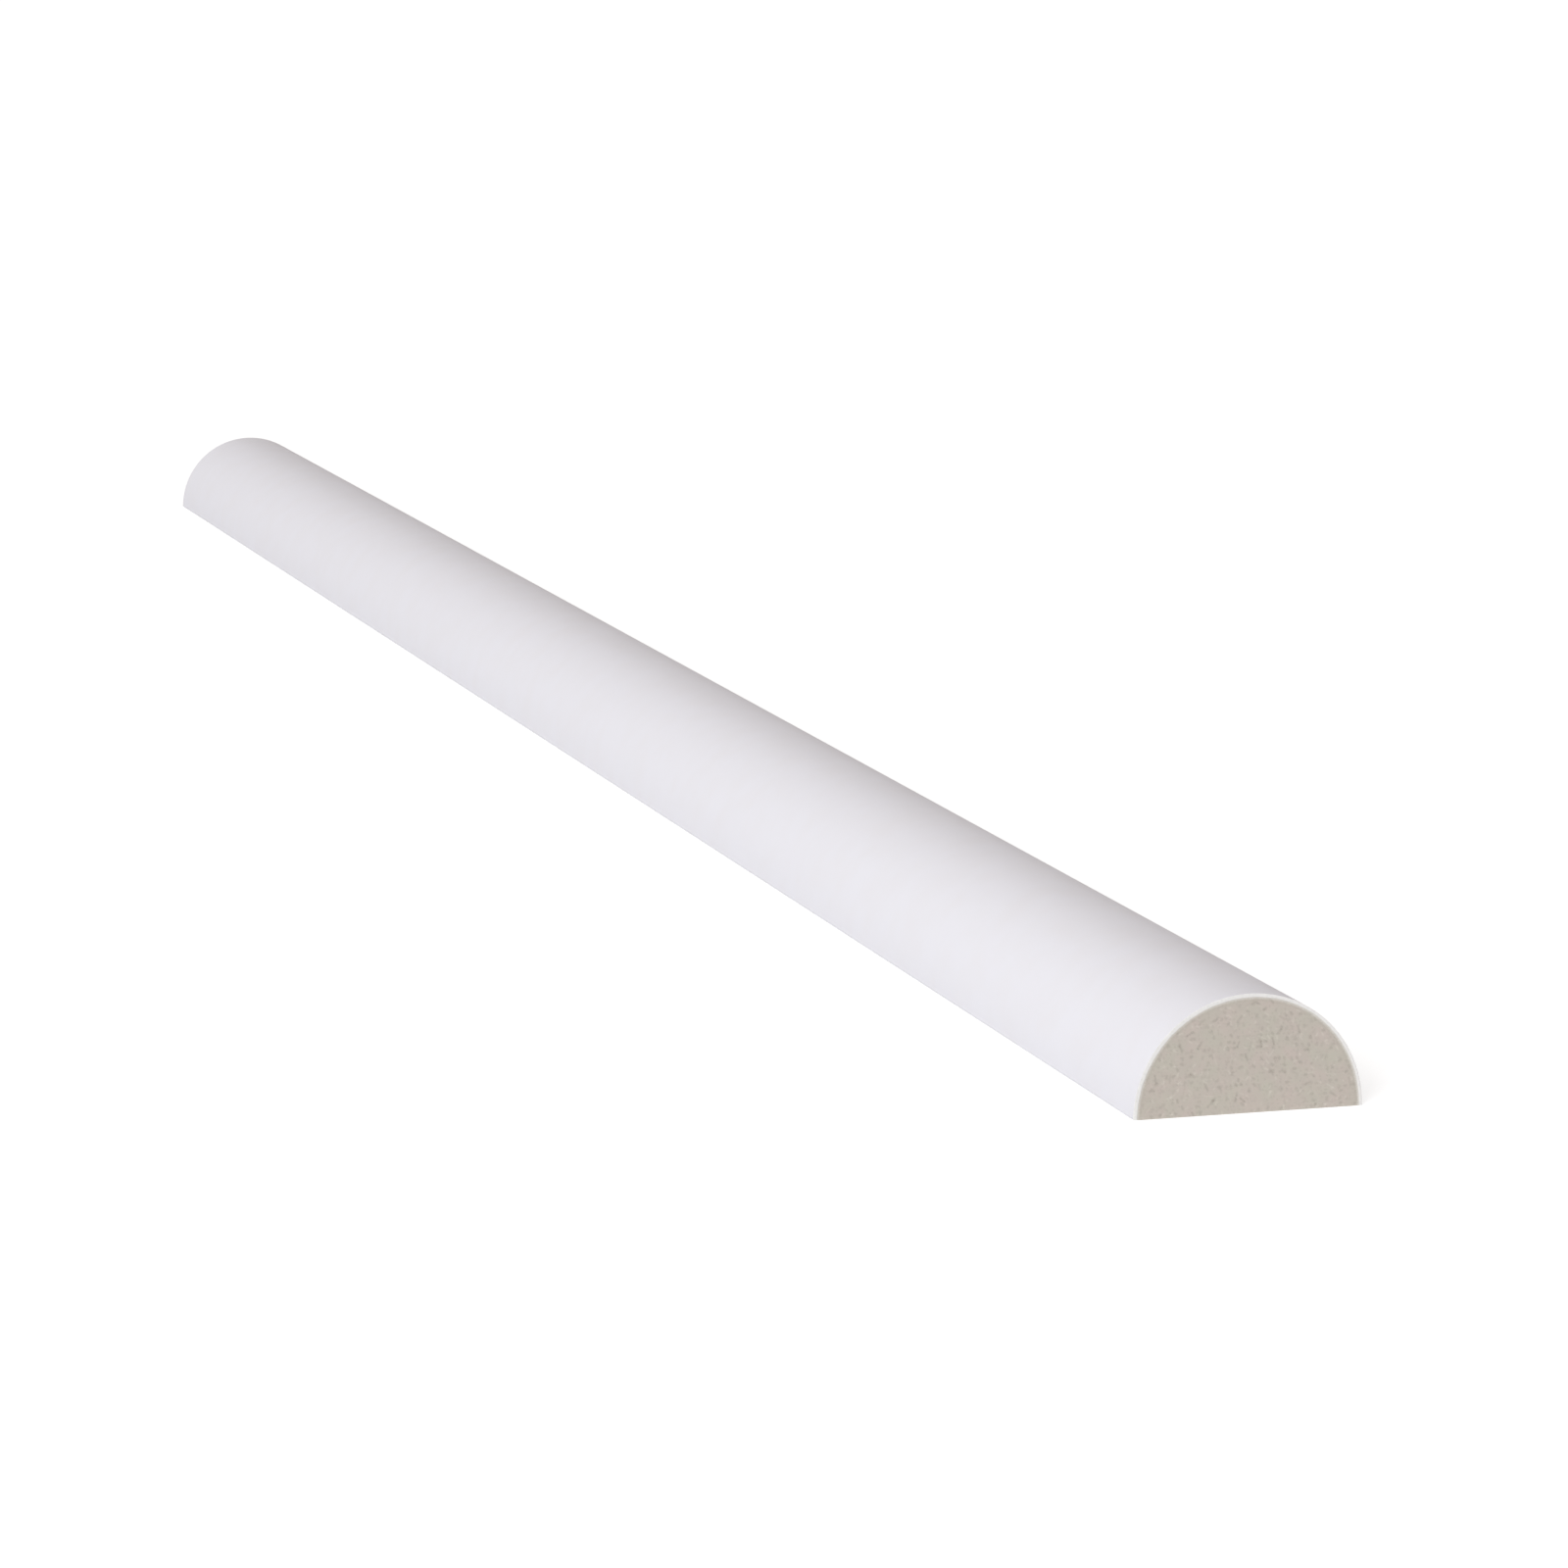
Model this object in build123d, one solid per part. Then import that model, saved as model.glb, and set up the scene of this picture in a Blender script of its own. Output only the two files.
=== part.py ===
from build123d import *
import os

# Half-round moulding in medium-density fibreboard: one straight length with a flat back and a half-round face.
# It lies on its flat back. The length runs along X, the width along Y and the crown points up along Z.
# The origin is the centre of the flat back.
# All sizes are in millimetres.

# Driving dimensions
length = 520.0  # between the two saw cuts
crown_radius = 12.7  # of the round face, half of the one inch width
thickness = 12.7  # from the flat back to the crown
arris_radius = 0.2  # of the two long edges, eased by sanding before the primer went on


def section():
    """The D section: everything above the back and under the round face."""
    springing = thickness - crown_radius  # height of the round face's centre above the back
    reach = 2 * crown_radius  # far enough past the section to trim it from outside
    round_face = Pos(0, springing) * Circle(crown_radius)
    # straight sides, which show only where the thickness is more than the radius
    sides = Pos(0, springing) * Rectangle(2 * crown_radius, reach, align=(Align.CENTER, Align.MAX))
    above_back = Rectangle(2 * reach, thickness + reach, align=(Align.CENTER, Align.MIN))
    outline = (round_face + sides) & above_back
    arrises = outline.vertices().group_by(Axis.Y)[0]
    return fillet(arrises, arris_radius)


def half_round_moulding():
    """The section run straight along the whole length, cut square at both ends."""
    section_plane = Plane.YZ.offset(-length / 2)
    return extrude(section_plane * section(), amount=length)


os.makedirs("parts", exist_ok=True)
moulding = half_round_moulding()
moulding.label = "half_round_moulding"
export_step(moulding, "parts/half_round_moulding.step")
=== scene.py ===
import math
from typing import NamedTuple

import bmesh
import bpy
from mathutils import Matrix, Vector, geometry, noise


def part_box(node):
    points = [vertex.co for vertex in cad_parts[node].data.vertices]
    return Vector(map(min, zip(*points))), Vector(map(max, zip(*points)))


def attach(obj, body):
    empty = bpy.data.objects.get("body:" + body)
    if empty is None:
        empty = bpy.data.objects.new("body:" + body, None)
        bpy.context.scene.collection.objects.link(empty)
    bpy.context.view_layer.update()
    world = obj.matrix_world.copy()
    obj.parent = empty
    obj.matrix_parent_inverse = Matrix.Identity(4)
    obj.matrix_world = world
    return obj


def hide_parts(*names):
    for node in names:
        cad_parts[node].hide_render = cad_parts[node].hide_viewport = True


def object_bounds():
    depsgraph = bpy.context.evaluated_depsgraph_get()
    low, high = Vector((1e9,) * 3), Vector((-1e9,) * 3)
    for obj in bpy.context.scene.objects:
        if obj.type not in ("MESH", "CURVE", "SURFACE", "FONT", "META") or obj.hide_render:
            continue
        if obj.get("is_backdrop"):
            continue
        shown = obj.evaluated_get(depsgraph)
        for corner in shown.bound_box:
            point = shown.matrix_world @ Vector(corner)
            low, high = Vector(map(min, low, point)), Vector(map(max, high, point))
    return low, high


bl_info = {
    "name": "Primed half-round moulding",
    "version": (1, 0, 0),
    "blender": (4, 5, 0),
    "location": "3D View > Sidebar > Moulding",
    "description": "Builds a length of primed fibreboard half-round and the studio that shows it",
    "category": "Add Mesh",
}


class Fade(NamedTuple):
    """A mark that shows from nothing to its full share as a value goes from start to end."""

    start: float
    end: float
    share: float


class Fibre(NamedTuple):
    """A kind of fibre, or of gap between fibres, in the pressed board. Lengths are in millimetres."""

    cell: float  # side of the squares that hold one each
    length: float
    width: float
    strength: float  # how strongly it shows
    shift: float = 0.0  # moves the squares, so that each kind lies in places of its own
    spread: float = 1.0  # how far it may lean, as a share of a quarter turn


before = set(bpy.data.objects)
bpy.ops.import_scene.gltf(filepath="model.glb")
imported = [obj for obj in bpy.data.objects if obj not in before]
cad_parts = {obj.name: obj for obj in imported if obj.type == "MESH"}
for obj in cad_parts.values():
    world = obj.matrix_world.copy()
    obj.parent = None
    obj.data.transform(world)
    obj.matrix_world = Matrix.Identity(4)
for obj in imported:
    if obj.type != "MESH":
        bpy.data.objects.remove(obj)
cad_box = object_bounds()
NODE = "half_round_moulding"
BODY = "root"
low_corner, high_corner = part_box(NODE)

MM = 0.001  # one millimetre in Blender's metres
MM_IN_M = 1000.0
WHITE = (1.0, 1.0, 1.0, 1.0)

# Meshes
FACE_STEPS = 200  # round the half circle
ARRIS_STEPS = 6  # round each eased edge
RING_SPACING = 10 * MM  # along the length
END_RINGS = (0.3 * MM, 1 * MM, 3 * MM)  # extra rings this far from the saw cuts
END_STEP = 0.17 * MM  # between the points of a sawn end
EDGE_GAP = 0.7  # share of that step left clear between those points and the outline
SHARP_EDGE = math.radians(35)
WELD = 0.5e-6  # points closer than this are one point
MERGE = WELD / 10  # points closer than this are one point to the triangulation
INSIDE_ONLY = 1  # tells the triangulation to keep only what its outline encloses

# Maps: the bottom and the top of the band that each kind of face takes up
BAKE_MAP = "OFBake"  # the name of each piece's map
MAP_ROWS = 4  # the length lies on a map as this many strips
MARGIN = 0.004  # left clear round each patch
COAT_SKIN, COAT_INSIDE, COAT_RIMS, COAT_EDGES = (0.0, 0.90), (0.90, 0.93), (0.93, 0.97), (0.97, 1.0)
BOARD_ENDS, BOARD_BACK, BOARD_INSIDE = (0.0, 0.27), (0.27, 0.95), (0.95, 1.0)

# The saw cuts
EDGE_PROFILE = (  # share of the primer's thickness, how far back it lies, and its share of a chip
    (0.0, 0.010 * MM, 1.0),
    (0.03, 0.003 * MM, 0.8),
    (0.08, 0.0, 0.6),
    (0.45, 0.0, 0.0),
    (1.0, 0.0, 0.0),
)
CHIP_DEPTH = 0.08 * MM  # of the deepest chips in the primer's edge
CHIP_START = 0.22  # lumps lower than this leave no chip
SOAK_DEPTH = 0.045 * MM  # how much deeper the primer soaks in, give or take as much
THINNING = (-0.3, 0.6)  # shares of half the width between which the coat goes from full to thin
SAW_CENTRE = (40 * MM, -118 * MM)  # of the curved saw marks
SAW_PITCH = 1.1 * MM
SAW_DEPTH = 0.005 * MM
SAW_WAVER = 3.0  # how far the marks stray from their curve, where 2 pi is one pitch
TORN_DEPTH = 0.012 * MM
FUZZ_DEPTH = 0.006 * MM
CHIP_LUMPS = (900, 7.3)  # how many to the metre, and the layer of the noise that they come from
SOAK_LUMPS = (1500, 3.1)
WAVER_LUMPS = (200, 5.0)
TORN_LUMPS = (2600, 11.0)
FUZZ_LUMPS = (900, 2.0)

# Finishes: lengths are in millimetres, and noise is given as lumps to the millimetre and layers of detail
PRIMER_GLOSS = 0.12
BOARD_GLOSS = 0.25

# Sprayed primer
PRIMER_CLOUDS = (0.22, 3.0)
PRIMER_PEEL = (0.9, 2.0)
PRIMER_GRAIN = (5.0, 2.0)
THIN_CLOUD = Fade(0.3, 0.8, 0.4)
THIN_SPECK = Fade(0.70, 0.80, 0.3)
CLOUD_ROUGHNESS = 0.10  # how much rougher the primer is in a cloud than between clouds
GRAIN_ROUGHNESS = 0.08
CUTTER_PITCH = 1.8  # between the ripples that the moulder's cutter leaves
CUTTER_WAVER = 2.0  # how far the clouds move those ripples, where 2 pi is one pitch
PEEL_DEPTH = 0.006  # of the orange peel, and the unit of the two heights below
GRAIN_HEIGHT = 0.35
RIPPLE_HEIGHT = 0.10

# Sawn primer
RIM_GRAIN = (4.0, 3.0)
RIM_TORN = Fade(0.45, 0.75, 0.6)
RIM_SHADE = 0.85  # share of the colour left where the rim is torn
RIM_ROUGHNESS = 0.2
RIM_DEPTH = 0.015

# Pressed fibre
BOARD_CLOUDS = (0.6, 3.0)
BOARD_TINTS = (0.45, 2.0)
BOARD_GRAIN = (6.0, 3.0)
BOARD_CLOUD = Fade(0.3, 0.75, 0.7)
CLOUD_SHADE = 0.95  # share of the colour left in a cloud
TINT_PLACE = (50.0, 20.0, 0.0)  # keeps the tints apart from the clouds
TINT_EDGES = (0.3, 0.7)  # the noise at which the board is fully pinkish and fully greenish
PINKISH = (1.025, 0.983, 1.0)  # times the red, the green and the blue of the board's colour
GREENISH = (0.972, 1.007, 0.975)
RAGGED = 0.45  # how far the grain moves a fibre's edge
FIBRE_TIP = (0.5, 0.2)  # shares of the length, from its middle, where a fibre ends and where it is whole
FIBRE_SIDE = (0.5, 0.1)  # the same for the width
FIBRE_CHANCE = (0.3, 1.0)  # the chance at which a fibre starts to show and at which it shows fully
# gaps between fibres: where these show, the board is darkened as painted shade
SHADED_GAPS = (
    Fibre(cell=0.66, length=0.62, width=0.50, strength=0.42),
    Fibre(cell=1.45, length=1.30, width=0.38, strength=0.48, shift=31.0, spread=0.7),
    Fibre(cell=0.37, length=0.36, width=0.28, strength=0.24, shift=57.0),
)
PALE_FIBRES = (
    Fibre(cell=0.85, length=0.70, width=0.30, strength=0.4, shift=77.0),
    Fibre(cell=1.90, length=1.60, width=0.22, strength=0.3, shift=143.0),
)

# Sawn board
OTHER_END_SHIFT = 60.0  # gives the end at -X fibres of its own
SOAK_RAGGED = 0.35  # how ragged the grain makes the two lines below
DAMP_LINE = Fade(0.70, 0.25, 0.25)  # by the depth under the primer
SEALED_LINE = Fade(0.40, 0.02, 0.8)
FELT_GRAIN = 0.5  # height of the grain next to a fibre's
FELT_ROUGHNESS = 0.15
FELT_DEPTH = 0.010

# Sanded board
SCRATCHES = (1.0, 3.0)
SCRATCH_STRETCH = (0.05, 6.0)  # along the length and across it
SCRATCH_PALE = Fade(0.45, 0.75, 0.25)
SANDED_FIBRES = 0.6  # how strongly the fibres show, next to a sawn end
SANDED_SHADE = 0.6  # share of the colour left in a gap, as painted shade
SANDED_GRAIN = 0.3  # height of the grain next to a scratch's
SANDED_ROUGHNESS = 0.2
SCRATCH_DEPTH = 0.015

# Studio
CAMERA_YAW = math.radians(16.696)  # from straight along the length
CAMERA_PITCH = math.radians(10.002)  # downwards
CAMERA_ROLL = math.radians(0.166)
CAMERA_PLACE = (0.80545, -0.21402, 0.13752)
SENSOR_WIDTH = 36.0  # millimetres
FAR_CLIP = 100.0
FLOOR_SIZE = 16.0
FLOOR_SQUARES = 4  # along each side
FLOOR_WHITE = 0.3  # share of plain white in the floor that the camera sees
NEAR_GLOW = (0.62, 0.62, 0.62, 1.0)  # brings the rest of it just up to white where no shadow falls
FAR_GLOW = (0.8, 0.8, 0.8, 1.0)  # the same where the lamps are weaker
GLOW_RISE = (300.0, 600.0)  # millimetres from the middle between which the one goes over to the other
KEY_SIZE = 2.0
FILL_SIZE = 0.25


class MouldingSizes(bpy.types.PropertyGroup):
    """The sizes of the moulding and of its coat of primer."""

    length: bpy.props.FloatProperty(
        name="Length", description="From one saw cut to the other",
        default=high_corner.x - low_corner.x, unit="LENGTH")
    width: bpy.props.FloatProperty(
        name="Width", description="Across the flat back",
        default=high_corner.y - low_corner.y, unit="LENGTH")
    thickness: bpy.props.FloatProperty(
        name="Thickness", description="From the flat back to the crown",
        default=high_corner.z - low_corner.z, unit="LENGTH")
    arris: bpy.props.FloatProperty(
        name="Arris radius", description="Of the two long edges, eased by sanding",
        default=0.2 * MM, unit="LENGTH")
    coat: bpy.props.FloatProperty(
        name="Primer thickness", description="Of the coat on the round face",
        default=0.37 * MM, unit="LENGTH")
    thin_coat: bpy.props.FloatProperty(
        name="Thin side", description="Of the coat towards +Y, where less of the spray landed",
        default=0.27 * MM, unit="LENGTH")
    saw_recess: bpy.props.FloatProperty(
        name="Saw recess", description="How far the saw leaves the board inside the primer's edge",
        default=0.03 * MM, unit="LENGTH")


class PrimerFinish(bpy.types.PropertyGroup):
    """The look of the white primer."""

    white: bpy.props.FloatVectorProperty(
        name="Primer", description="Colour of the sprayed face",
        default=(0.823, 0.812, 0.855), size=3, subtype="COLOR")
    thin: bpy.props.FloatVectorProperty(
        name="Thin primer", description="Colour where the board warms a thinner coat",
        default=(0.806, 0.783, 0.805), size=3, subtype="COLOR")
    sawn: bpy.props.FloatVectorProperty(
        name="Sawn primer", description="Colour of the coat's edge at a saw cut",
        default=(0.785, 0.768, 0.748), size=3, subtype="COLOR")
    roughness: bpy.props.FloatProperty(
        name="Roughness", description="Of the primer, sprayed or sawn",
        default=0.75, min=0.0, max=1.0, subtype="FACTOR")


class FibreboardFinish(bpy.types.PropertyGroup):
    """The look of the bare fibreboard."""

    board: bpy.props.FloatVectorProperty(
        name="Board", description="Colour of the pressed fibre at a saw cut",
        default=(0.515, 0.466, 0.414), size=3, subtype="COLOR")
    # painted shade: the colour that the gaps between the fibres are darkened to
    gap_shade: bpy.props.FloatVectorProperty(
        name="Gaps", description="Colour of the dark gaps between the fibres",
        default=(0.33, 0.295, 0.255), size=3, subtype="COLOR")
    soaked: bpy.props.FloatVectorProperty(
        name="Damp line", description="Colour of the board that the primer's water darkened",
        default=(0.40, 0.37, 0.31), size=3, subtype="COLOR")
    sealed: bpy.props.FloatVectorProperty(
        name="Sealed fibres", description="Colour of the fibres at the edge that primer soaked into",
        default=(0.70, 0.67, 0.63), size=3, subtype="COLOR")
    fibre: bpy.props.FloatVectorProperty(
        name="Pale fibres", description="Colour of the palest cut fibres",
        default=(0.64, 0.595, 0.535), size=3, subtype="COLOR")
    sanded: bpy.props.FloatVectorProperty(
        name="Sanded back", description="Colour of the denser sanded back",
        default=(0.45, 0.37, 0.28), size=3, subtype="COLOR")
    roughness: bpy.props.FloatProperty(
        name="Roughness", description="Of the sawn board",
        default=0.88, min=0.0, max=1.0, subtype="FACTOR")
    sanded_roughness: bpy.props.FloatProperty(
        name="Sanded roughness", description="Of the sanded back",
        default=0.78, min=0.0, max=1.0, subtype="FACTOR")


class StudioSetup(bpy.types.PropertyGroup):
    """The floor, the lamps and the camera."""

    floor: bpy.props.FloatVectorProperty(
        name="Floor", description="Colour of the floor",
        default=(0.65, 0.65, 0.65), size=3, subtype="COLOR")
    room_colour: bpy.props.FloatVectorProperty(
        name="Room colour", description="Tint of the even light",
        default=(1.095, 0.985, 0.915), size=3, subtype="COLOR", soft_max=2.0)
    room: bpy.props.FloatProperty(
        name="Room light", description="Even light from all round", default=0.345, min=0.0)
    key_colour: bpy.props.FloatVectorProperty(
        name="Key colour", description="Tint of the key lamp",
        default=(0.955, 1.003, 1.038), size=3, subtype="COLOR", soft_max=2.0)
    key: bpy.props.FloatProperty(
        name="Key lamp", description="What the key lamp adds on a white surface that faces it",
        default=0.885, min=0.0)
    key_distance: bpy.props.FloatProperty(
        name="Key distance", description="From the moulding to the key lamp", default=5.3, unit="LENGTH")
    key_azimuth: bpy.props.FloatProperty(
        name="Key azimuth", description="Round from the length towards the camera's side",
        default=math.radians(-39.7), unit="ROTATION")
    key_elevation: bpy.props.FloatProperty(
        name="Key elevation", description="Up from the floor",
        default=math.radians(24.6), unit="ROTATION")
    fill_colour: bpy.props.FloatVectorProperty(
        name="Fill colour", description="Tint of the fill lamp",
        default=(0.96, 1.0, 1.04), size=3, subtype="COLOR", soft_max=2.0)
    fill: bpy.props.FloatProperty(
        name="Fill lamp", description="What the fill lamp adds on a white surface that faces it",
        default=0.17, min=0.0)
    fill_distance: bpy.props.FloatProperty(
        name="Fill distance", description="From the moulding to the fill lamp", default=4.0, unit="LENGTH")
    fill_azimuth: bpy.props.FloatProperty(
        name="Fill azimuth", description="Round from the length, at the back",
        default=math.radians(140), unit="ROTATION")
    fill_elevation: bpy.props.FloatProperty(
        name="Fill elevation", description="Up from the floor, low enough to leave the crown in shade",
        default=math.radians(2.0), unit="ROTATION")
    lens: bpy.props.FloatProperty(
        name="Lens", description="Focal length in millimetres on a sensor 36 mm wide", default=132.46)


SETTINGS = {
    "moulding_sizes": MouldingSizes,
    "moulding_primer": PrimerFinish,
    "moulding_board": FibreboardFinish,
    "moulding_studio": StudioSetup,
}


class Value:
    """An output of a shader node. Python's operators on it add Math nodes."""

    def __init__(self, finish, socket):
        self.finish = finish
        self.socket = socket

    def maths(self, operation, *numbers):
        """A Math node on numbers and values."""
        return self.finish.node("ShaderNodeMath", {"operation": operation}, dict(enumerate(numbers)))

    def __add__(self, other):
        return self.maths("ADD", self, other)

    def __radd__(self, other):
        return self.maths("ADD", other, self)

    def __sub__(self, other):
        return self.maths("SUBTRACT", self, other)

    def __rsub__(self, other):
        return self.maths("SUBTRACT", other, self)

    def __mul__(self, other):
        return self.maths("MULTIPLY", self, other)

    def __rmul__(self, other):
        return self.maths("MULTIPLY", other, self)

    def __abs__(self):
        return self.maths("ABSOLUTE", self)

    def sine(self):
        return self.maths("SINE", self)

    def cosine(self):
        return self.maths("COSINE", self)

    def step(self, start, end):
        """A soft step from 0 at start to 1 at end."""
        return self.finish.node(
            "ShaderNodeMapRange", {"interpolation_type": "SMOOTHSTEP"},
            {"Value": self, "From Min": start, "From Max": end})

    def shows(self, fade):
        """How strongly a mark shows at this value."""
        return self.step(fade.start, fade.end) * fade.share


class Finish:
    """The nodes of a material or the world. Its methods add nodes and hand back their outputs."""

    def __init__(self, owner):
        owner.use_nodes = True
        self.owner = owner
        self.tree = owner.node_tree
        self.tree.nodes.clear()

    def node(self, kind, settings=(), sockets=(), output=0):
        """Adds a node, sets its settings and then its sockets, to numbers, colours or other values."""
        made = self.tree.nodes.new(kind)
        for name, setting in dict(settings).items():
            setattr(made, name, setting)
        for name, given in dict(sockets).items():
            socket = made.inputs[name] if isinstance(name, int) else self.named(made.inputs, name)
            if isinstance(given, Value):
                self.tree.links.new(given.socket, socket)
            else:
                socket.default_value = given
        if not made.outputs:
            return None
        found = made.outputs[output] if isinstance(output, int) else self.named(made.outputs, output)
        return Value(self, found)

    @staticmethod
    def named(sockets, name):
        """The socket with that identifier, or else with that label."""
        by_identifier = {socket.identifier: socket for socket in sockets}
        return by_identifier.get(name) or sockets[name]

    def also(self, value, output):
        """Another output of the node that value comes from."""
        return Value(self, self.named(value.socket.node.outputs, output))

    def vector_maths(self, operation, *vectors):
        """A Vector Math node on vectors."""
        return self.node("ShaderNodeVectorMath", {"operation": operation}, dict(enumerate(vectors)))

    def place(self):
        """The place on the piece in millimetres, in the moulding's own frame."""
        at = self.node("ShaderNodeTexCoord", output="Object")
        return self.vector_maths("MULTIPLY", at, (MM_IN_M, MM_IN_M, MM_IN_M))

    def parts(self, vector):
        """The three numbers of a vector or a colour."""
        first = self.node("ShaderNodeSeparateXYZ", (), {0: vector})
        return first, self.also(first, "Y"), self.also(first, "Z")

    def joined(self, x, y, z=0.0):
        """A vector of three numbers."""
        return self.node("ShaderNodeCombineXYZ", (), {"X": x, "Y": y, "Z": z})

    def noise(self, at, lumps, detail):
        """Soft noise round 0.5, with that many lumps to the millimetre and layers of detail."""
        return self.node("ShaderNodeTexNoise", (), {"Vector": at, "Scale": lumps, "Detail": detail})

    def fibres(self, at, kind):
        """How strongly fibres of a kind show. Chance turns each one and sets how much of it shows."""
        moved = self.vector_maths("ADD", at, (kind.shift, kind.shift / 2, 0.0))
        middle = self.node(
            "ShaderNodeTexVoronoi", {"voronoi_dimensions": "2D"},
            {"Vector": moved, "Scale": 1 / kind.cell}, "Position")
        turn, chance, _ = self.parts(self.also(middle, "Color"))
        x, y, _ = self.parts(self.vector_maths("SUBTRACT", moved, middle))
        lean = (turn - 0.5) * (math.pi * kind.spread)
        along = abs(y * lean.cosine() + x * lean.sine())
        aside = abs(x * lean.cosine() - y * lean.sine())
        tip = along.step(*(share * kind.length for share in FIBRE_TIP))
        side = aside.step(*(share * kind.width for share in FIBRE_SIDE))
        return tip * side * chance.step(*FIBRE_CHANCE) * kind.strength

    def blend(self, share, first, second):
        """A colour that goes from first to second as share goes from 0 to 1."""
        return self.node(
            "ShaderNodeMix", {"data_type": "RGBA"},
            {"Factor_Float": share, "A_Color": first, "B_Color": second}, "Result_Color")

    def bump(self, height, depth):
        """The normal of a surface on which a height of 1 stands that many millimetres above 0."""
        return self.node("ShaderNodeBump", (), {"Height": height, "Distance": depth * MM})

    def finished(self, colour, roughness, normal, gloss):
        """Adds the shader and hands back the material."""
        shader = self.node("ShaderNodeBsdfPrincipled", (), {
            "Base Color": colour, "Roughness": roughness, "Normal": normal, "Specular IOR Level": gloss})
        self.node("ShaderNodeOutputMaterial", (), {"Surface": shader})
        return self.owner


def new_finish(name):
    return Finish(bpy.data.materials.new(name))


def opaque(colour):
    """A colour property as the four numbers of a socket."""
    return (*colour, 1.0)


def tinted(colour, ratio):
    """A colour property with each part times its own ratio, as the four numbers of a socket."""
    return opaque(part * times for part, times in zip(colour, ratio))


def darker(colour, share):
    """A share of a colour property, as the four numbers of a socket."""
    return tinted(colour, (share, share, share))


def sprayed_primer(settings):
    """White primer as sprayed: an even matt skin with a faint orange peel over the cutter's ripple."""
    finish = new_finish("sprayed_primer")
    at = finish.place()
    along, _, _ = finish.parts(at)
    cloud = finish.noise(at, *PRIMER_CLOUDS)
    grain = finish.noise(at, *PRIMER_GRAIN)
    peel = finish.noise(at, *PRIMER_PEEL)
    thin = cloud.shows(THIN_CLOUD) + grain.shows(THIN_SPECK)
    colour = finish.blend(thin, opaque(settings.white), opaque(settings.thin))
    roughness = settings.roughness + (cloud - 0.5) * CLOUD_ROUGHNESS + (grain - 0.5) * GRAIN_ROUGHNESS
    ripple = (along * (2 * math.pi / CUTTER_PITCH) + cloud * CUTTER_WAVER).sine()
    height = peel + grain * GRAIN_HEIGHT + ripple * RIPPLE_HEIGHT
    return finish.finished(colour, roughness, finish.bump(height, PEEL_DEPTH), PRIMER_GLOSS)


def sawn_primer(settings):
    """The primer's edge where the saw went through it: chalky and slightly torn."""
    finish = new_finish("sawn_primer")
    grain = finish.noise(finish.place(), *RIM_GRAIN)
    colour = finish.blend(grain.shows(RIM_TORN), opaque(settings.sawn), darker(settings.sawn, RIM_SHADE))
    roughness = settings.roughness + (grain - 0.5) * RIM_ROUGHNESS
    return finish.finished(colour, roughness, finish.bump(grain, RIM_DEPTH), PRIMER_GLOSS)


def felted(finish, at, board):
    """Pressed fibre at a place in the plane of a face: its colour, the mask of the gaps that are darkened
    as painted shade, pale fibres and grain.
    """
    cloud = finish.noise(at, *BOARD_CLOUDS)
    tint = finish.noise(finish.vector_maths("ADD", at, TINT_PLACE), *BOARD_TINTS)
    grain = finish.noise(at, *BOARD_GRAIN)
    # the fibres' edges are ragged because the grain moves the places that they are drawn at
    ragged = finish.vector_maths("ADD", at, finish.joined(grain * RAGGED, (1 - grain) * RAGGED))
    # painted shade: how strongly the gaps between the fibres are darkened
    dark = sum(finish.fibres(ragged, kind) for kind in SHADED_GAPS)
    pale = sum(finish.fibres(ragged, kind) for kind in PALE_FIBRES)
    colour = finish.blend(tint.step(*TINT_EDGES), tinted(board, PINKISH), tinted(board, GREENISH))
    colour = finish.blend(cloud.shows(BOARD_CLOUD), colour, darker(board, CLOUD_SHADE))
    return colour, dark, pale, grain


def sawn_board(settings, sizes):
    """Fibreboard across a saw cut: felted fibres, gaps darkened with painted shade, and primer soaked into
    its edge.
    """
    finish = new_finish("sawn_board")
    along, across, up = finish.parts(finish.place())
    at = finish.joined(across + along.step(1.0, -1.0) * OTHER_END_SHIFT, up)
    colour, dark, pale, grain = felted(finish, at, settings.board)
    colour = finish.blend(pale, colour, opaque(settings.fibre))
    # painted shade in the gaps between the fibres
    colour = finish.blend(dark, colour, opaque(settings.gap_shade))
    half, rise = MM_IN_M * sizes.width / 2, MM_IN_M * sizes.thickness
    coat, thinner = MM_IN_M * sizes.coat, MM_IN_M * (sizes.coat - sizes.thin_coat)
    share = across * (1 / half)
    out = finish.vector_maths("LENGTH", finish.joined(share, up * (1 / rise)))
    # how deep the place lies under the primer, in millimetres, with a ragged edge
    depth = (1 - finish.also(out, "Value")) * rise - coat + share.step(*THINNING) * thinner
    depth = depth + (grain - 0.5) * SOAK_RAGGED
    colour = finish.blend(depth.shows(DAMP_LINE), colour, opaque(settings.soaked))
    colour = finish.blend(depth.shows(SEALED_LINE), colour, opaque(settings.sealed))
    height = pale - dark + grain * FELT_GRAIN
    roughness = settings.roughness + (grain - 0.5) * FELT_ROUGHNESS
    return finish.finished(colour, roughness, finish.bump(height, FELT_DEPTH), BOARD_GLOSS)


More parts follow.
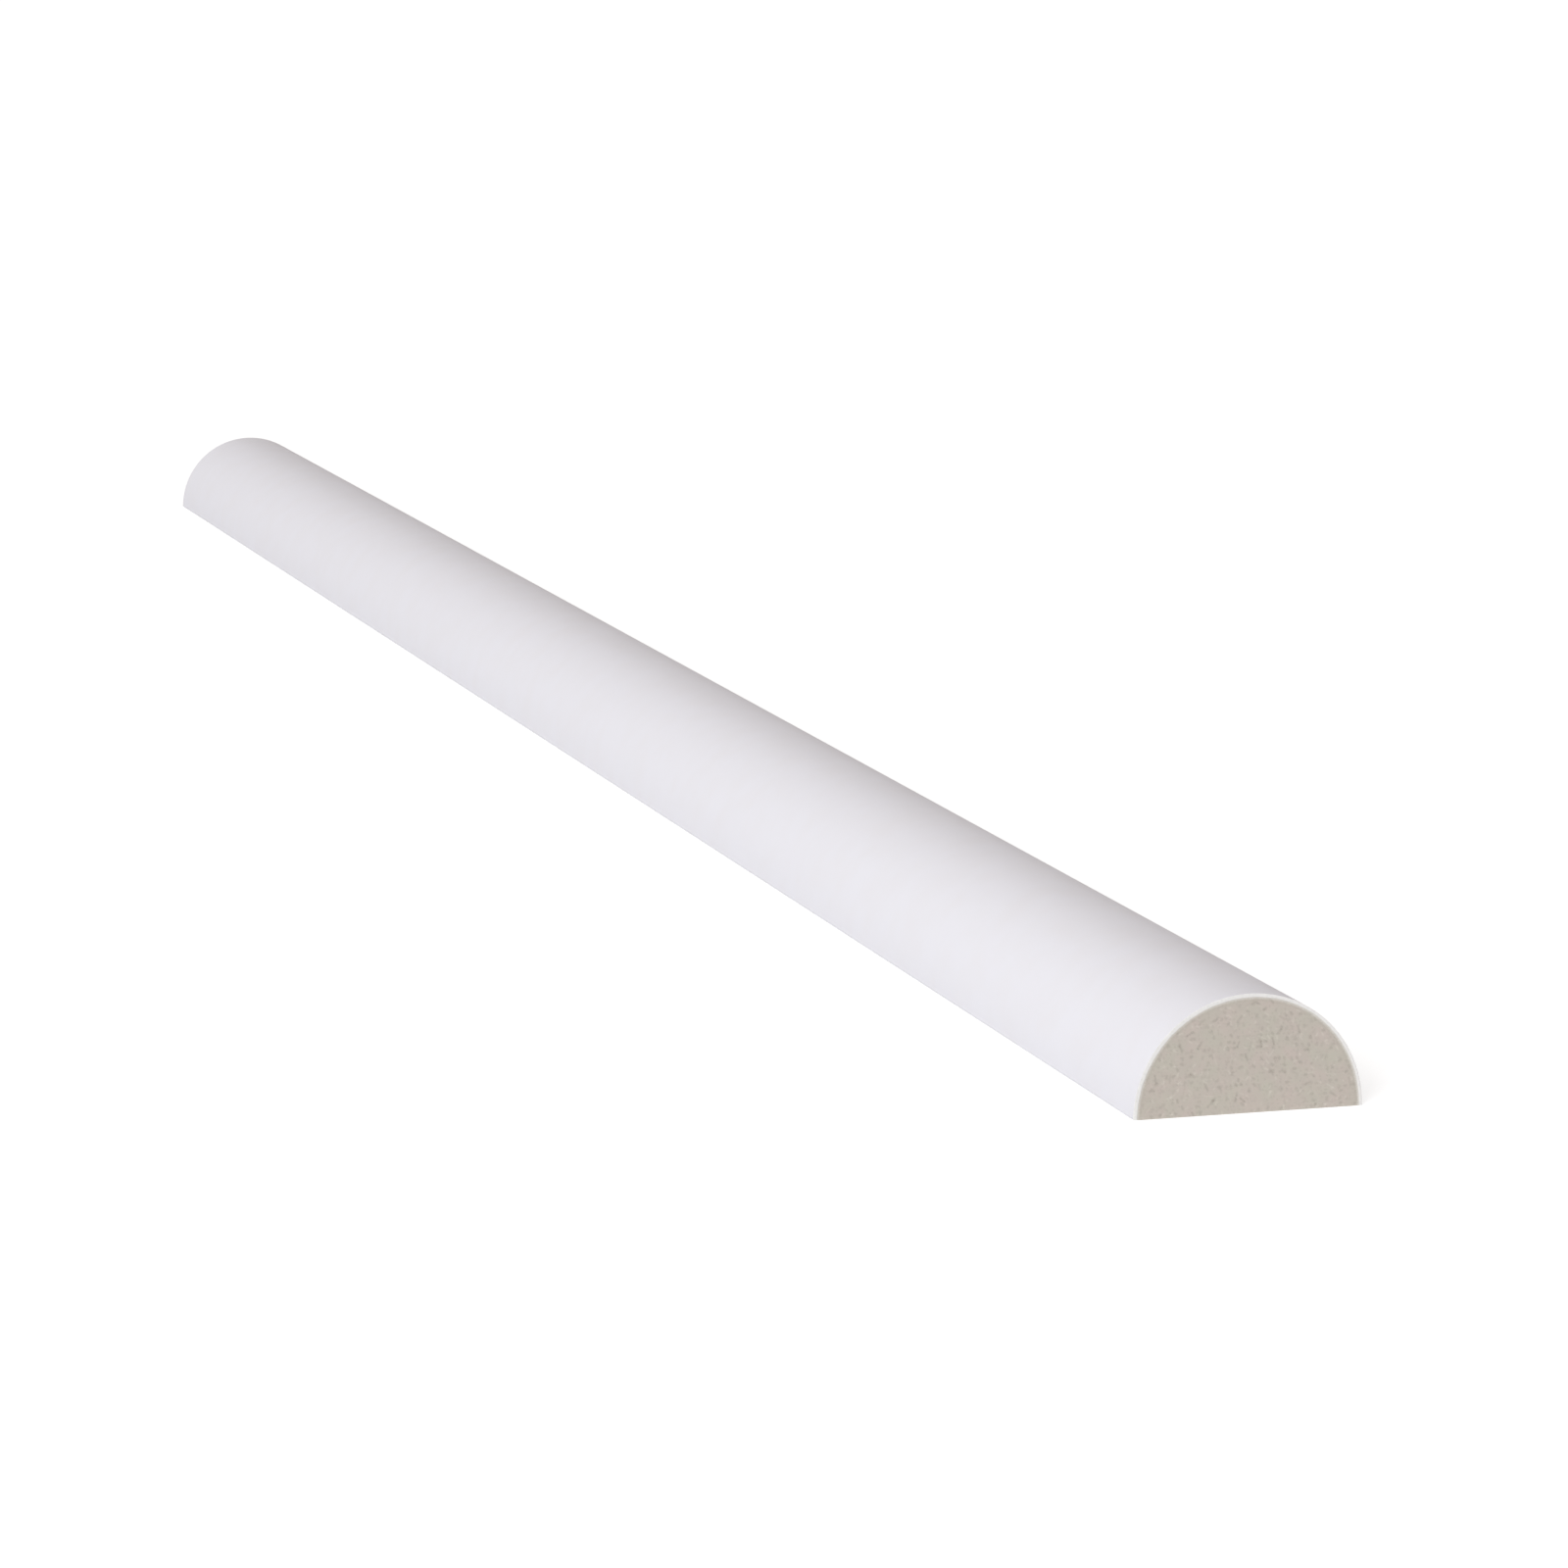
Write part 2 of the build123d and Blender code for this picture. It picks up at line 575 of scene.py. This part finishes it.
def sanded_board(settings):
    """The bare back: denser than the middle of the board, and sanded, with scratches along the length."""
    finish = new_finish("sanded_board")
    along, across, _ = finish.parts(finish.place())
    colour, dark, pale, grain = felted(finish, finish.joined(along, across), settings.sanded)
    stretch_along, stretch_across = SCRATCH_STRETCH
    scratch = finish.noise(finish.joined(along * stretch_along, across * stretch_across), *SCRATCHES)
    # painted shade in the gaps between the fibres
    colour = finish.blend(dark * SANDED_FIBRES, colour, darker(settings.sanded, SANDED_SHADE))
    colour = finish.blend(pale * SANDED_FIBRES, colour, opaque(settings.board))
    colour = finish.blend(scratch.shows(SCRATCH_PALE), colour, opaque(settings.board))
    roughness = settings.sanded_roughness + (scratch - 0.5) * SANDED_ROUGHNESS
    normal = finish.bump(scratch + grain * SANDED_GRAIN, SCRATCH_DEPTH)
    return finish.finished(colour, roughness, normal, BOARD_GLOSS)


def spaced(points, start, end):
    """Where points lie from start to end, spaced as they are along their line."""
    gaps = [0.0] + [(Vector(b) - Vector(a)).length for a, b in zip(points, points[1:])]
    total = sum(gaps)
    reached = 0.0
    places = []
    for gap in gaps:
        reached += gap
        places.append(start + (end - start) * reached / total)
    return places


def strip(band, index=0, count=1):
    """The patch of strip number index out of count, one above another in a band of the map."""
    bottom, top = band
    height = (top - bottom) / count
    low = bottom + index * height
    return (MARGIN, low + MARGIN / 2, 1 - MARGIN, low + height - MARGIN / 2)


class PieceMesh:
    """A mesh made of panels, each with its own patch of the piece's map."""

    def __init__(self, finishes):
        self.finishes = finishes
        self.mesh = bmesh.new()
        self.map = self.mesh.loops.layers.uv.new(BAKE_MAP)

    def face(self, points, places, finish):
        """A face with its corners at those points of the piece and those places of its map."""
        face = self.mesh.faces.new([self.mesh.verts.new(point) for point in points])
        face.material_index = finish
        face.smooth = True
        for loop, place in zip(face.loops, places):
            loop[self.map].uv = place

    def panel(self, rows, patch, finish):
        """A grid of faces. Its rows go up the patch of the map, spaced as they are on the piece."""
        left, bottom, right, top = patch
        across = spaced(rows[len(rows) // 2], left, right)
        up = spaced([row[len(row) // 2] for row in rows], bottom, top)
        for r in range(len(rows) - 1):
            for c in range(len(rows[r]) - 1):
                corners = ((r, c), (r, c + 1), (r + 1, c + 1), (r + 1, c))
                points = [rows[i][j] for i, j in corners]
                places = [(across[j], up[i]) for i, j in corners]
                self.face(points, places, finish)

    def made(self, name, slot):
        """Welds the panels, turns every face outwards and hands the piece over in place of the moulding's
        CAD part. The slot is not used.
        """
        bmesh.ops.remove_doubles(self.mesh, verts=self.mesh.verts, dist=WELD)
        bmesh.ops.recalc_face_normals(self.mesh, faces=self.mesh.faces)
        if not all(edge.is_manifold for edge in self.mesh.edges):
            raise ValueError(f"The surface of the {name} isn't closed")
        data = bpy.data.meshes.new(name)
        self.mesh.to_mesh(data)
        self.mesh.free()
        data.set_sharp_from_angle(angle=SHARP_EDGE)
        for finish in self.finishes:
            data.materials.append(finish)
        piece = bpy.data.objects.new(name, data)
        bpy.context.scene.collection.objects.link(piece)
        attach(piece, BODY)
        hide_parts(NODE)


def primed_outline(sizes):
    """The outline seen from the end as (across, up): an arris, the round face and the other arris."""
    half, rise, arris = sizes.width / 2, sizes.thickness, sizes.arris
    meets = math.asin(arris / rise)
    centre = half * math.cos(meets) - arris
    corner = []
    for i in range(ARRIS_STEPS):
        turn = i / ARRIS_STEPS * math.pi / 2
        corner.append((centre + arris * math.sin(turn), arris - arris * math.cos(turn)))
    face = []
    for i in range(FACE_STEPS + 1):
        angle = math.pi - meets - i / FACE_STEPS * (math.pi - 2 * meets)
        face.append((half * math.cos(angle), rise * math.sin(angle)))
    return [(-across, up) for across, up in corner] + face + corner[::-1]


def soft_step(number, start, end):
    """The soft step that a shader value's step gives, for a plain number."""
    share = min(1.0, max(0.0, (number - start) / (end - start)))
    return share * share * (3 - 2 * share)


def coat_depth(sizes, across):
    """The coat's thickness under a point of the round face."""
    return sizes.coat + (sizes.thin_coat - sizes.coat) * soft_step(2 * across / sizes.width, *THINNING)


def inset(sizes, point, depth):
    """The point at the same angle on the round face drawn that much deeper."""
    half, rise = sizes.width / 2, sizes.thickness
    angle = math.atan2(point[1] / rise, point[0] / half)
    return ((half - depth) * math.cos(angle), (rise - depth) * math.sin(angle))


def lumps(across, up, end, kind):
    """Smooth bumps from -1 to 1 over a saw cut. End is 1 for the cut at +X and -1 for the one at -X."""
    per_metre, layer = kind
    return noise.noise(Vector((across * per_metre, up * per_metre, layer * end)))


def primer_chip(across, up, end):
    """How far the saw has chipped the primer's outer edge back, in metres."""
    return CHIP_DEPTH * max(0.0, lumps(across, up, end, CHIP_LUMPS) - CHIP_START)


def primer_soak(across, up, end):
    """How much deeper the primer has soaked in than its thickness, in metres."""
    return SOAK_DEPTH * (lumps(across, up, end, SOAK_LUMPS) + 1)


def end_at(sizes, station):
    """1 at the saw cut at +X, -1 at the one at -X, and 0 anywhere between them."""
    if abs(station) < sizes.length / 2 - WELD:
        return 0
    return 1 if station > 0 else -1


def coat_point(sizes, point, station, profile):
    """Where the coat's surface lies under a point of the outline, for one row of EDGE_PROFILE."""
    share, back, chip_share = profile
    end = end_at(sizes, station)
    across, up = point
    deep = coat_depth(sizes, across) + (primer_soak(across, up, end) if end else 0.0)
    inner = inset(sizes, point, deep)
    if end:
        station -= end * (back + chip_share * primer_chip(across, up, end))
    return (station, across + (inner[0] - across) * share, up + (inner[1] - up) * share)


def stations_along(sizes):
    """Places along the length, as MAP_ROWS lists that meet, each with the rings of one strip of a map."""
    part = sizes.length / MAP_ROWS
    steps = round(part / RING_SPACING)
    start = -sizes.length / 2
    strips = [[start + part * (row + i / steps) for i in range(steps + 1)] for row in range(MAP_ROWS)]
    # the extra rings stand between each saw cut and the ring next to it
    strips[0][1:1] = [start + gap for gap in END_RINGS]
    strips[-1][-1:-1] = [-start - gap for gap in reversed(END_RINGS)]
    return strips


def end_to_end(strips):
    """The places of all the strips as one list, with each place where two strips meet only once."""
    return strips[0] + [station for stations in strips[1:] for station in stations[1:]]


def lengthwise(rings):
    """The rings as rows that run along the length, so that the length lies across a map."""
    return list(zip(*rings))


class MOULDING_OT_primer_coat(bpy.types.Operator):
    """Build the coat of white primer that covers the round face"""

    bl_idname = "moulding.primer_coat"
    bl_label = "Primer coat"

    def execute(self, context):
        sizes = context.scene.moulding_sizes
        settings = context.scene.moulding_primer
        if 2 * max(sizes.coat, sizes.thin_coat) > min(sizes.width / 2, sizes.thickness):
            raise ValueError("The primer is too thick for this section")
        coat = PieceMesh([sprayed_primer(settings), sawn_primer(settings)])
        skin_finish, rim_finish = 0, 1
        outline = primed_outline(sizes)
        last = sizes.length / 2

        def ring(station, profile):
            return [coat_point(sizes, point, station, profile) for point in outline]

        strips = stations_along(sizes)
        whole_length = end_to_end(strips)
        for row, stations in enumerate(strips):
            skin = [ring(station, EDGE_PROFILE[0]) for station in stations]
            coat.panel(lengthwise(skin), strip(COAT_SKIN, row, MAP_ROWS), skin_finish)
        inside = [ring(station, EDGE_PROFILE[-1]) for station in whole_length]
        coat.panel(lengthwise(inside), strip(COAT_INSIDE), rim_finish)
        for i, end in enumerate((-last, last)):
            rim = [ring(end, profile) for profile in EDGE_PROFILE]
            coat.panel(rim, strip(COAT_RIMS, i, 2), rim_finish)
        # the coat's two lower edges, at the first and the last point of the outline
        for i, k in enumerate((0, -1)):
            edge = [[ring(station, profile)[k] for station in whole_length] for profile in EDGE_PROFILE]
            coat.panel(edge, strip(COAT_EDGES, i, 2), skin_finish)
        coat.made("primer_coat", "white_primer")
        return {"FINISHED"}


def board_outline(sizes):
    """The board's outline under the primer as (across, up), round the face and back along the flat."""
    face = [inset(sizes, point, coat_depth(sizes, point[0])) for point in primed_outline(sizes)]
    left, right = face[0][0], face[-1][0]
    steps = round((right - left) / END_STEP)
    back = [(right + (left - right) * i / steps, 0.0) for i in range(steps + 1)]
    return face, back


def saw_relief(across, up, end):
    """How deep the saw and the torn fibres leave a point of a cut end, in metres."""
    radius = math.hypot(across - SAW_CENTRE[0], up - SAW_CENTRE[1])
    waver = SAW_WAVER * lumps(across, up, end, WAVER_LUMPS)
    mark = 0.5 + 0.5 * math.sin(2 * math.pi * radius / SAW_PITCH + waver)
    torn = max(0.0, lumps(across, up, end, TORN_LUMPS))
    fuzz = lumps(across, up, end, FUZZ_LUMPS) + 1
    return SAW_DEPTH * mark + TORN_DEPTH * torn + FUZZ_DEPTH * fuzz


def sawn_end(sizes, outline):
    """The triangles of a cut end: its points as (across, up), and the three point numbers of each."""
    edges = [(i, (i + 1) % len(outline)) for i in range(len(outline))]
    coat = max(sizes.coat, sizes.thin_coat)
    half, rise = sizes.width / 2 - coat, sizes.thickness - coat
    clear = EDGE_GAP * END_STEP
    row_gap = END_STEP * math.sqrt(3) / 2
    inside = []
    for r in range(1, int(rise / row_gap)):
        up = r * row_gap
        reach = half * math.sqrt(max(0.0, 1 - (up / rise) ** 2)) - clear
        count = int(2 * reach / END_STEP)
        for c in range(count + 1):
            across = (c - count / 2 + (r % 2) / 2) * END_STEP
            if abs(across) <= reach and up < rise - clear:
                inside.append((across, up))
    points = [Vector(point) for point in outline + inside]
    found, _, triangles, *_ = geometry.delaunay_2d_cdt(points, edges, [], INSIDE_ONLY, MERGE)
    if len(found) != len(points):
        raise ValueError("Two points of the sawn end lie too close together")
    return found, triangles


def add_sawn_ends(board, sizes, outline, last, finish):
    """Both cut ends, side by side in their band of the map, with the saw's relief inside their outline."""
    points, triangles = sawn_end(sizes, outline)
    bottom, top = BOARD_ENDS
    wide = 0.5  # of the map, for each end
    scale = min((wide - 2 * MARGIN) / sizes.width, (top - bottom - 2 * MARGIN) / sizes.thickness)
    for i, end in enumerate((-1, 1)):
        left = wide * i + MARGIN + scale * sizes.width / 2
        places = [(left + p.x * scale, bottom + MARGIN + p.y * scale) for p in points]
        depths = [0.0] * len(outline) + [saw_relief(p.x, p.y, end) for p in points[len(outline):]]
        for triangle in triangles:
            corners = [(end * (last - depths[n]), points[n].x, points[n].y) for n in triangle]
            board.face(corners, [places[n] for n in triangle], finish)


class MOULDING_OT_fibreboard(bpy.types.Operator):
    """Build the fibreboard under the primer, with its two sawn ends and its bare back"""

    bl_idname = "moulding.fibreboard"
    bl_label = "Fibreboard"

    def execute(self, context):
        sizes = context.scene.moulding_sizes
        settings = context.scene.moulding_board
        board = PieceMesh([sawn_board(settings, sizes), sanded_board(settings)])
        sawn_finish, sanded_finish = 0, 1
        face, back = board_outline(sizes)
        last = sizes.length / 2 - sizes.saw_recess

        def ring(points, station):
            reached = max(-last, min(last, station))
            return [(reached, across, up) for across, up in points]

        strips = stations_along(sizes)
        for row, stations in enumerate(strips):
            rings = [ring(back, station) for station in stations]
            board.panel(lengthwise(rings), strip(BOARD_BACK, row, MAP_ROWS), sanded_finish)
        inside = [ring(face, station) for station in end_to_end(strips)]
        board.panel(lengthwise(inside), strip(BOARD_INSIDE), sanded_finish)
        add_sawn_ends(board, sizes, face + back[1:-1], last, sawn_finish)
        board.made("fibreboard", "bare_fibreboard")
        return {"FINISHED"}


def seen_directly(finish):
    """1 for rays from the camera, also in a reflection or through glass, and 0 for all other light."""
    camera = finish.node("ShaderNodeLightPath", (), (), "Is Camera Ray")
    return camera + finish.also(camera, "Is Glossy Ray") + finish.also(camera, "Is Transmission Ray")


def turned(angle, axis):
    """A turn about an axis, as the matrix of an object."""
    return Matrix.Rotation(angle, 4, axis)


class MOULDING_OT_studio(bpy.types.Operator):
    """Set out the pale floor, the room's light, the two lamps and the camera"""

    bl_idname = "moulding.studio"
    bl_label = "Studio"

    def execute(self, context):
        studio = context.scene.moulding_studio
        self.floor(context, studio)
        self.room(context, studio)
        self.lamp(context, studio, "key", KEY_SIZE)
        self.lamp(context, studio, "fill", FILL_SIZE)
        self.camera(context, studio)
        context.scene.view_settings.view_transform = "Standard"
        return {"FINISHED"}

    def floor(self, context, studio):
        finish = new_finish("pale_floor")
        pale = finish.node("ShaderNodeBsdfDiffuse", (), {"Color": opaque(studio.floor)})
        distance = finish.also(finish.vector_maths("LENGTH", finish.place()), "Value")
        glow = finish.blend(distance.step(*GLOW_RISE), NEAR_GLOW, FAR_GLOW)
        lift = finish.node("ShaderNodeEmission", (), {"Color": glow, "Strength": 1.0})
        lifted = finish.node("ShaderNodeAddShader", (), {0: pale, 1: lift})
        white = finish.node("ShaderNodeEmission", (), {"Color": WHITE, "Strength": 1.0})
        seen = finish.node("ShaderNodeMixShader", (), {0: FLOOR_WHITE, 1: lifted, 2: white})
        both = finish.node("ShaderNodeMixShader", (), {0: seen_directly(finish), 1: pale, 2: seen})
        finish.node("ShaderNodeOutputMaterial", (), {"Surface": both})
        mesh = bmesh.new()
        bmesh.ops.create_grid(
            mesh, x_segments=FLOOR_SQUARES, y_segments=FLOOR_SQUARES, size=FLOOR_SIZE / 2)
        data = bpy.data.meshes.new("floor")
        mesh.to_mesh(data)
        mesh.free()
        data.materials.append(finish.owner)
        floor = bpy.data.objects.new("floor", data)
        context.scene.collection.objects.link(floor)
        floor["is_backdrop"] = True

    def room(self, context, studio):
        finish = Finish(bpy.data.worlds.new("studio_room"))
        tint = opaque(studio.room_colour)
        light = finish.node("ShaderNodeBackground", (), {"Color": tint, "Strength": studio.room})
        white = finish.node("ShaderNodeBackground", (), {"Color": WHITE, "Strength": 1.0})
        both = finish.node("ShaderNodeMixShader", (), {0: seen_directly(finish), 1: light, 2: white})
        finish.node("ShaderNodeOutputWorld", (), {"Surface": both})
        context.scene.world = finish.owner

    def lamp(self, context, studio, name, size):
        """A square lamp that faces the moulding, set by the studio's settings of that name."""
        lamp = bpy.data.lights.new(name, "AREA")
        lamp.shape = "SQUARE"
        lamp.size = size
        lamp.color = getattr(studio, name + "_colour")
        distance = getattr(studio, name + "_distance")
        # with this power it adds its setting to a white surface that faces it from that far
        lamp.energy = getattr(studio, name) * (math.pi * distance) ** 2
        lamp_object = bpy.data.objects.new(name, lamp)
        azimuth = turned(getattr(studio, name + "_azimuth"), "Z")
        elevation = turned(math.pi / 2 - getattr(studio, name + "_elevation"), "Y")
        lamp_object.matrix_world = azimuth @ elevation @ Matrix.Translation((0.0, 0.0, distance))
        context.scene.collection.objects.link(lamp_object)

    def camera(self, context, studio):
        camera = bpy.data.cameras.new("camera")
        camera.lens = studio.lens
        camera.sensor_width = SENSOR_WIDTH
        camera.clip_end = FAR_CLIP
        camera_object = bpy.data.objects.new("camera", camera)
        turn = (
            turned(math.pi / 2 - CAMERA_YAW, "Z")
            @ turned(math.pi / 2 - CAMERA_PITCH, "X")
            @ turned(CAMERA_ROLL, "Z")
        )
        camera_object.matrix_world = Matrix.Translation(CAMERA_PLACE) @ turn
        context.scene.collection.objects.link(camera_object)
        context.scene.camera = camera_object


OPERATORS = (MOULDING_OT_fibreboard, MOULDING_OT_primer_coat, MOULDING_OT_studio)


class MOULDING_PT_sidebar(bpy.types.Panel):
    """The moulding's pieces, its studio and their settings"""

    bl_idname = "MOULDING_PT_sidebar"
    bl_label = "Half-round moulding"
    bl_space_type = "VIEW_3D"
    bl_region_type = "UI"
    bl_category = "Moulding"

    def draw(self, context):
        for operator in OPERATORS:
            self.layout.operator(operator.bl_idname)
        for name, group in SETTINGS.items():
            box = self.layout.box()
            for setting in group.__annotations__:
                box.prop(getattr(context.scene, name), setting)


CLASSES = (*SETTINGS.values(), *OPERATORS, MOULDING_PT_sidebar)


def register():
    for made in CLASSES:
        bpy.utils.register_class(made)
    for name, group in SETTINGS.items():
        setattr(bpy.types.Scene, name, bpy.props.PointerProperty(type=group))


def unregister():
    for name in SETTINGS:
        delattr(bpy.types.Scene, name)
    for made in reversed(CLASSES):
        bpy.utils.unregister_class(made)


def numbers(corners):
    """A box's corners as plain lists of numbers."""
    return [list(corner) for corner in corners]


def main():
    register()
    bpy.ops.moulding.fibreboard()
    bpy.ops.moulding.primer_coat()
    bpy.ops.moulding.studio()
    {"cad": numbers(cad_box), "visual": numbers(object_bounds())}


if __name__ == "__main__":
    main()
